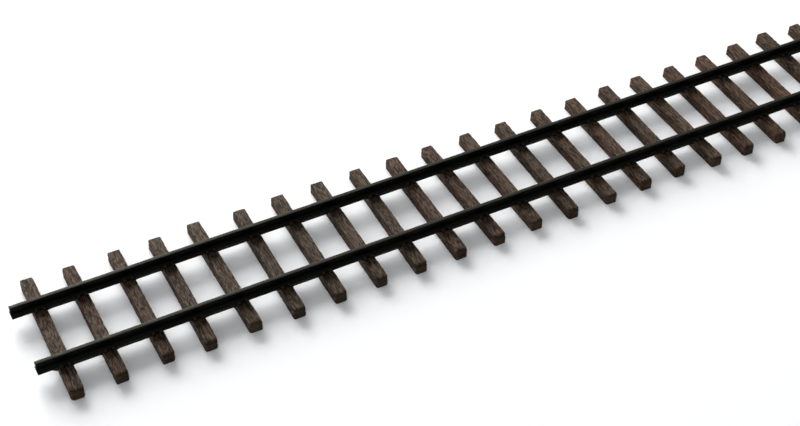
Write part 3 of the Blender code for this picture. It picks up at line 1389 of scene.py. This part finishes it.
@dataclass(frozen=True)
class Studio:
    """A pale glossy table, soft light from behind and above, and the camera."""

    target: Vector = Vector((-27.24, -0.36, 1.72)) * MM
    distance: float = 231.5 * MM
    azimuth: float = -28.74
    elevation: float = 43.67
    roll: float = 1.53
    lens: float = 69.8
    sensor: float = 36.0
    nearest: float = 1.0 * MM
    floor_size: float = 3.0
    floor_colours: tuple[Colour, Colour] = ((0.86, 0.865, 0.87), (0.9, 0.9, 0.9))
    floor_clouds_per_metre: float = 14.0
    floor_roughness: float = 0.10
    floor_depth: float = 0.9
    floor_bleed: float = 2.6 * MM
    floor_glow: float = 0.14
    glow_colour: Colour = (0.94, 0.975, 1.0)
    room_colour: Colour = (0.96, 0.98, 1.0)
    room_behind: Span = (0.105, 0.50)
    room_left: float = 0.40
    window_place: Triple = (-0.06, 0.76, 0.33)
    window_size: float = 0.44
    window_watts: float = 15.8

    def back(self) -> Vector:
        """Direction from the target to the camera."""
        turn, lift = math.radians(self.azimuth), math.radians(self.elevation)
        return Vector((math.sin(turn) * math.cos(lift), -math.cos(turn) * math.cos(lift), math.sin(lift)))

    def set_camera(self) -> None:
        """Make the camera and turn it to the track."""
        data = bpy.data.cameras.new("studio_camera")
        data.lens = self.lens
        data.sensor_width = self.sensor
        data.clip_start = self.nearest
        camera = link_new("studio_camera", data)
        camera.location = self.target + self.back() * self.distance
        aim = (-self.back()).to_track_quat("-Z", "Y").to_matrix().to_4x4()
        aim @= Matrix.Rotation(math.radians(self.roll), 4, "Z")
        camera.rotation_euler = aim.to_euler()
        bpy.context.scene.camera = camera

    def set_floor(self, kit: ShaderKit) -> None:
        """Lay the table top under the ties.

        Args:
            kit: The shared shader groups, which start the material.
        """
        deselect_all()
        bpy.ops.mesh.primitive_plane_add(size=self.floor_size, location=(0.0, 0.0, 0.0))
        floor = bpy.context.active_object
        floor.name = "table_top"
        material, wiring, shader, place = kit.start("glossy_white_table", 0.0)
        clouds = wiring.noise(place, self.floor_clouds_per_metre, 2.0)
        wiring.feed(wiring.mix(clouds, *self.floor_colours), shader.inputs["Base Color"])
        shader.subsurface_method = "BURLEY"
        # The table top glows faintly: painted light that lifts the shadows under the track and lights the ties'
        # sides.
        settings = {
            "Roughness": self.floor_roughness, "Subsurface Weight": self.floor_depth,
            "Subsurface Scale": self.floor_bleed, "Emission Color": self.glow_colour,
            "Emission Strength": self.floor_glow,
        }
        for name, value in settings.items():
            wiring.feed(value, shader.inputs[name])
        shader.inputs["Subsurface Radius"].default_value = (1.0, 1.0, 1.0)
        floor.data.materials.append(material)

    def set_world(self) -> None:
        """Light the scene from all round, brighter from behind the track than from the viewer's side."""
        world = bpy.data.worlds.new("soft_room")
        bpy.context.scene.world = world
        world.use_nodes = True
        wiring = Wiring(world.node_tree)
        split = wiring.add("ShaderNodeSeparateXYZ", Vector=wiring.add("ShaderNodeTexCoord").outputs["Generated"])
        background = world.node_tree.nodes["Background"]
        wiring.feed(self.room_colour, background.inputs["Color"])
        behind = wiring.ramp(split.outputs["Y"], 0.0, 0.95, *self.room_behind)
        left = wiring.ramp(split.outputs["X"], 0.2, -0.9, 0.0, self.room_left)
        wiring.feed(wiring.maths("ADD", behind, left), background.inputs["Strength"])

    def set_window(self) -> None:
        """Hang one square soft light behind the track, facing it."""
        lamp = bpy.data.lights.new("window_behind", "AREA")
        lamp.size = self.window_size
        lamp.energy = self.window_watts
        light = link_new("window_behind", lamp)
        light.location = self.window_place
        light.rotation_euler = (-Vector(self.window_place)).to_track_quat("-Z", "Y").to_euler()

    def build(self, kit: ShaderKit) -> None:
        """Set the whole stage.

        Args:
            kit: The shared shader groups.
        """
        self.set_floor(kit)
        self.set_world()
        self.set_window()
        self.set_camera()
        bpy.context.scene.view_settings.view_transform = "Standard"


# The whole section


@dataclass
class TrackSection:
    """The track section: ties with their spike heads, webs between them, and the two rails."""

    kit: ShaderKit
    sizes: TrackSizes
    pieces: int = 0

    def keep(self, piece: bpy.types.Object, body: str, nodes: Iterable[str] = ()) -> None:
        """Hang a piece on its body and hide the CAD nodes it stands for.

        Args:
            piece: The finished piece.
            body: The CAD body that it rides on.
            nodes: The CAD nodes that it stands for.
        """
        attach(piece, body)
        if nodes:
            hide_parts(*nodes)
        self.pieces += 1
        LOG.info("%s on %s: %d faces", piece.name, body, len(piece.data.polygons))

    def build_ties(self) -> None:
        """Shape every tie and set its spike heads."""
        modeller = TieModeller(self.sizes)
        spikes = SpikeModeller(self.sizes)
        wood = MouldedWoodFinish().make(self.kit)
        dark = SPIKE_HEAD_FINISH.make(self.kit)
        head = spikes.model_head()
        for node in nodes_named("tie_"):
            plan = TiePlan.from_node(node, modeller.arris)
            self.keep(modeller.shape(plan, wood), "tie_strip", [node])
            self.keep(spikes.place_on(plan, head, dark), "tie_strip")

    def build_webs(self) -> None:
        """Model every web."""
        modeller = WebModeller(self.sizes)
        finish = WEB_FINISH.make(self.kit)
        for node in nodes_named("web_"):
            self.keep(modeller.model(node, finish), "tie_strip", [node])

    def build_rails(self) -> None:
        """Model both rails."""
        modeller = RailModeller(self.sizes)
        finish = BlackenedRailFinish().make(self.kit)
        for side in Side:
            rail = modeller.model(side, finish)
            self.keep(rail, f"{side.word}_rail", [f"rail_{side.word}"])

    def build(self) -> None:
        """Build every sub-assembly in order."""
        self.build_ties()
        self.build_webs()
        self.build_rails()


def main() -> None:
    """Build the stage and the track section, and log each piece."""
    logging.basicConfig(level=logging.INFO, format="%(name)s: %(message)s")
    kit = ShaderKit()
    Studio().build(kit)
    section = TrackSection(kit, TrackSizes.from_frame())
    section.build()
    LOG.info("%d pieces", section.pieces)


if __name__ == "__main__":
    main()
